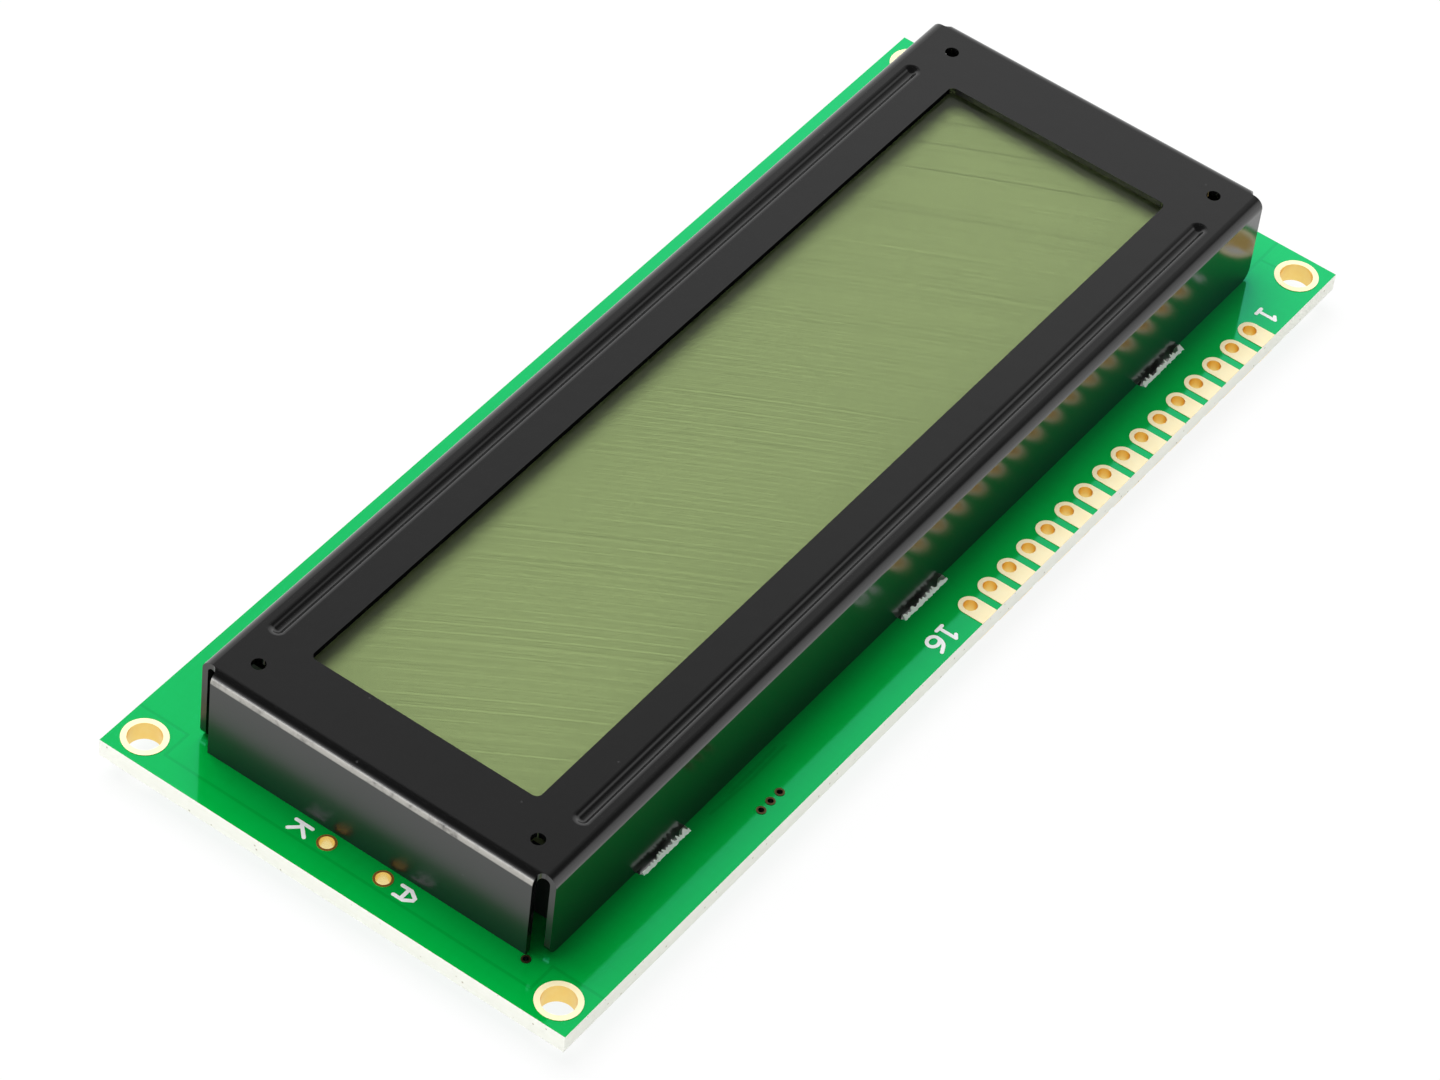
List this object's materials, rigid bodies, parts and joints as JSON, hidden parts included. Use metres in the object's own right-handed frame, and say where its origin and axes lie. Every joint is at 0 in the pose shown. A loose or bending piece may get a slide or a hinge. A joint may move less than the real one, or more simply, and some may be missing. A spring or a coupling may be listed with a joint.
{
  "type": "character lcd module",
  "caption": "Character display module: a glass cell on an edge-lit lamp box under a black folded steel bezel, on a green circuit board with corner holes and a row of pin holes.",
  "frame": {"origin": "centre of the four mounting holes, on the back face of the circuit board", "axes": "+X along the reading direction of the display, +Y towards the pin row, +Z out of the display"},
  "size_m": [0.0992, 0.0412, 0.0113],
  "materials": {
    "board_laminate": "green solder mask, glossy, over glass-fibre laminate",
    "black_enamel": "smooth glossy black enamel on folded sheet steel",
    "polarizing_film": "smooth grey-green polarizing film, glossy",
    "cell_glass": "polished clear glass",
    "contact_rubber": "matte striped silicone rubber",
    "frame_plastic": "moulded black plastic, fine grain",
    "white_sheet": "matte white film",
    "clear_plastic": "clear acrylic, polished",
    "strip_laminate": "bare laminate strip",
    "lamp_resin": "yellowish lamp resin",
    "tinned_wire": "tinned round wire",
    "solder": "smooth tin solder",
    "gold_plating": "bright gold plating",
    "black_resin": "black potting resin, satin",
    "resistor_body": "dark glaze between tinned ends",
    "capacitor_body": "tan ceramic between tinned ends"
  },
  "bodies": {
    "root": {"circuit_board": "board_laminate", "bezel": "black_enamel", "front_polarizer": "polarizing_film", "front_glass": "cell_glass", "rear_glass": "cell_glass", "rear_polarizer": "polarizing_film", "contact_strip_top": "contact_rubber", "contact_strip_bottom": "contact_rubber", "backlight_frame": "frame_plastic", "reflector_sheet": "white_sheet", "light_guide": "clear_plastic", "diffuser_sheet": "white_sheet", "led_strip": "strip_laminate", "anode_lead": "tinned_wire", "cathode_lead": "tinned_wire", "anode_solder": "solder", "cathode_solder": "solder", "anode_pad": "gold_plating", "cathode_pad": "gold_plating", "controller_blob": "black_resin", "driver_blob": "black_resin", "led_1": "lamp_resin", "led_2": "lamp_resin", "led_3": "lamp_resin", "led_4": "lamp_resin", "pin_pad_1": "gold_plating", "pin_pad_2": "gold_plating", "pin_pad_3": "gold_plating", "pin_pad_4": "gold_plating", "pin_pad_5": "gold_plating", "pin_pad_6": "gold_plating", "pin_pad_7": "gold_plating", "pin_pad_8": "gold_plating", "pin_pad_9": "gold_plating", "pin_pad_10": "gold_plating", "pin_pad_11": "gold_plating", "pin_pad_12": "gold_plating", "pin_pad_13": "gold_plating", "pin_pad_14": "gold_plating", "pin_pad_15": "gold_plating", "pin_pad_16": "gold_plating", "mounting_ring_1": "gold_plating", "mounting_ring_2": "gold_plating", "mounting_ring_3": "gold_plating", "mounting_ring_4": "gold_plating", "via_1": "gold_plating", "via_2": "gold_plating", "via_3": "gold_plating", "via_4": "gold_plating", "chip_resistor_1": "resistor_body", "chip_resistor_2": "resistor_body", "chip_resistor_3": "resistor_body", "chip_resistor_4": "resistor_body", "chip_resistor_5": "resistor_body", "chip_resistor_6": "resistor_body", "chip_capacitor_1": "capacitor_body", "chip_capacitor_2": "capacitor_body"}
  },
  "joints": []
}
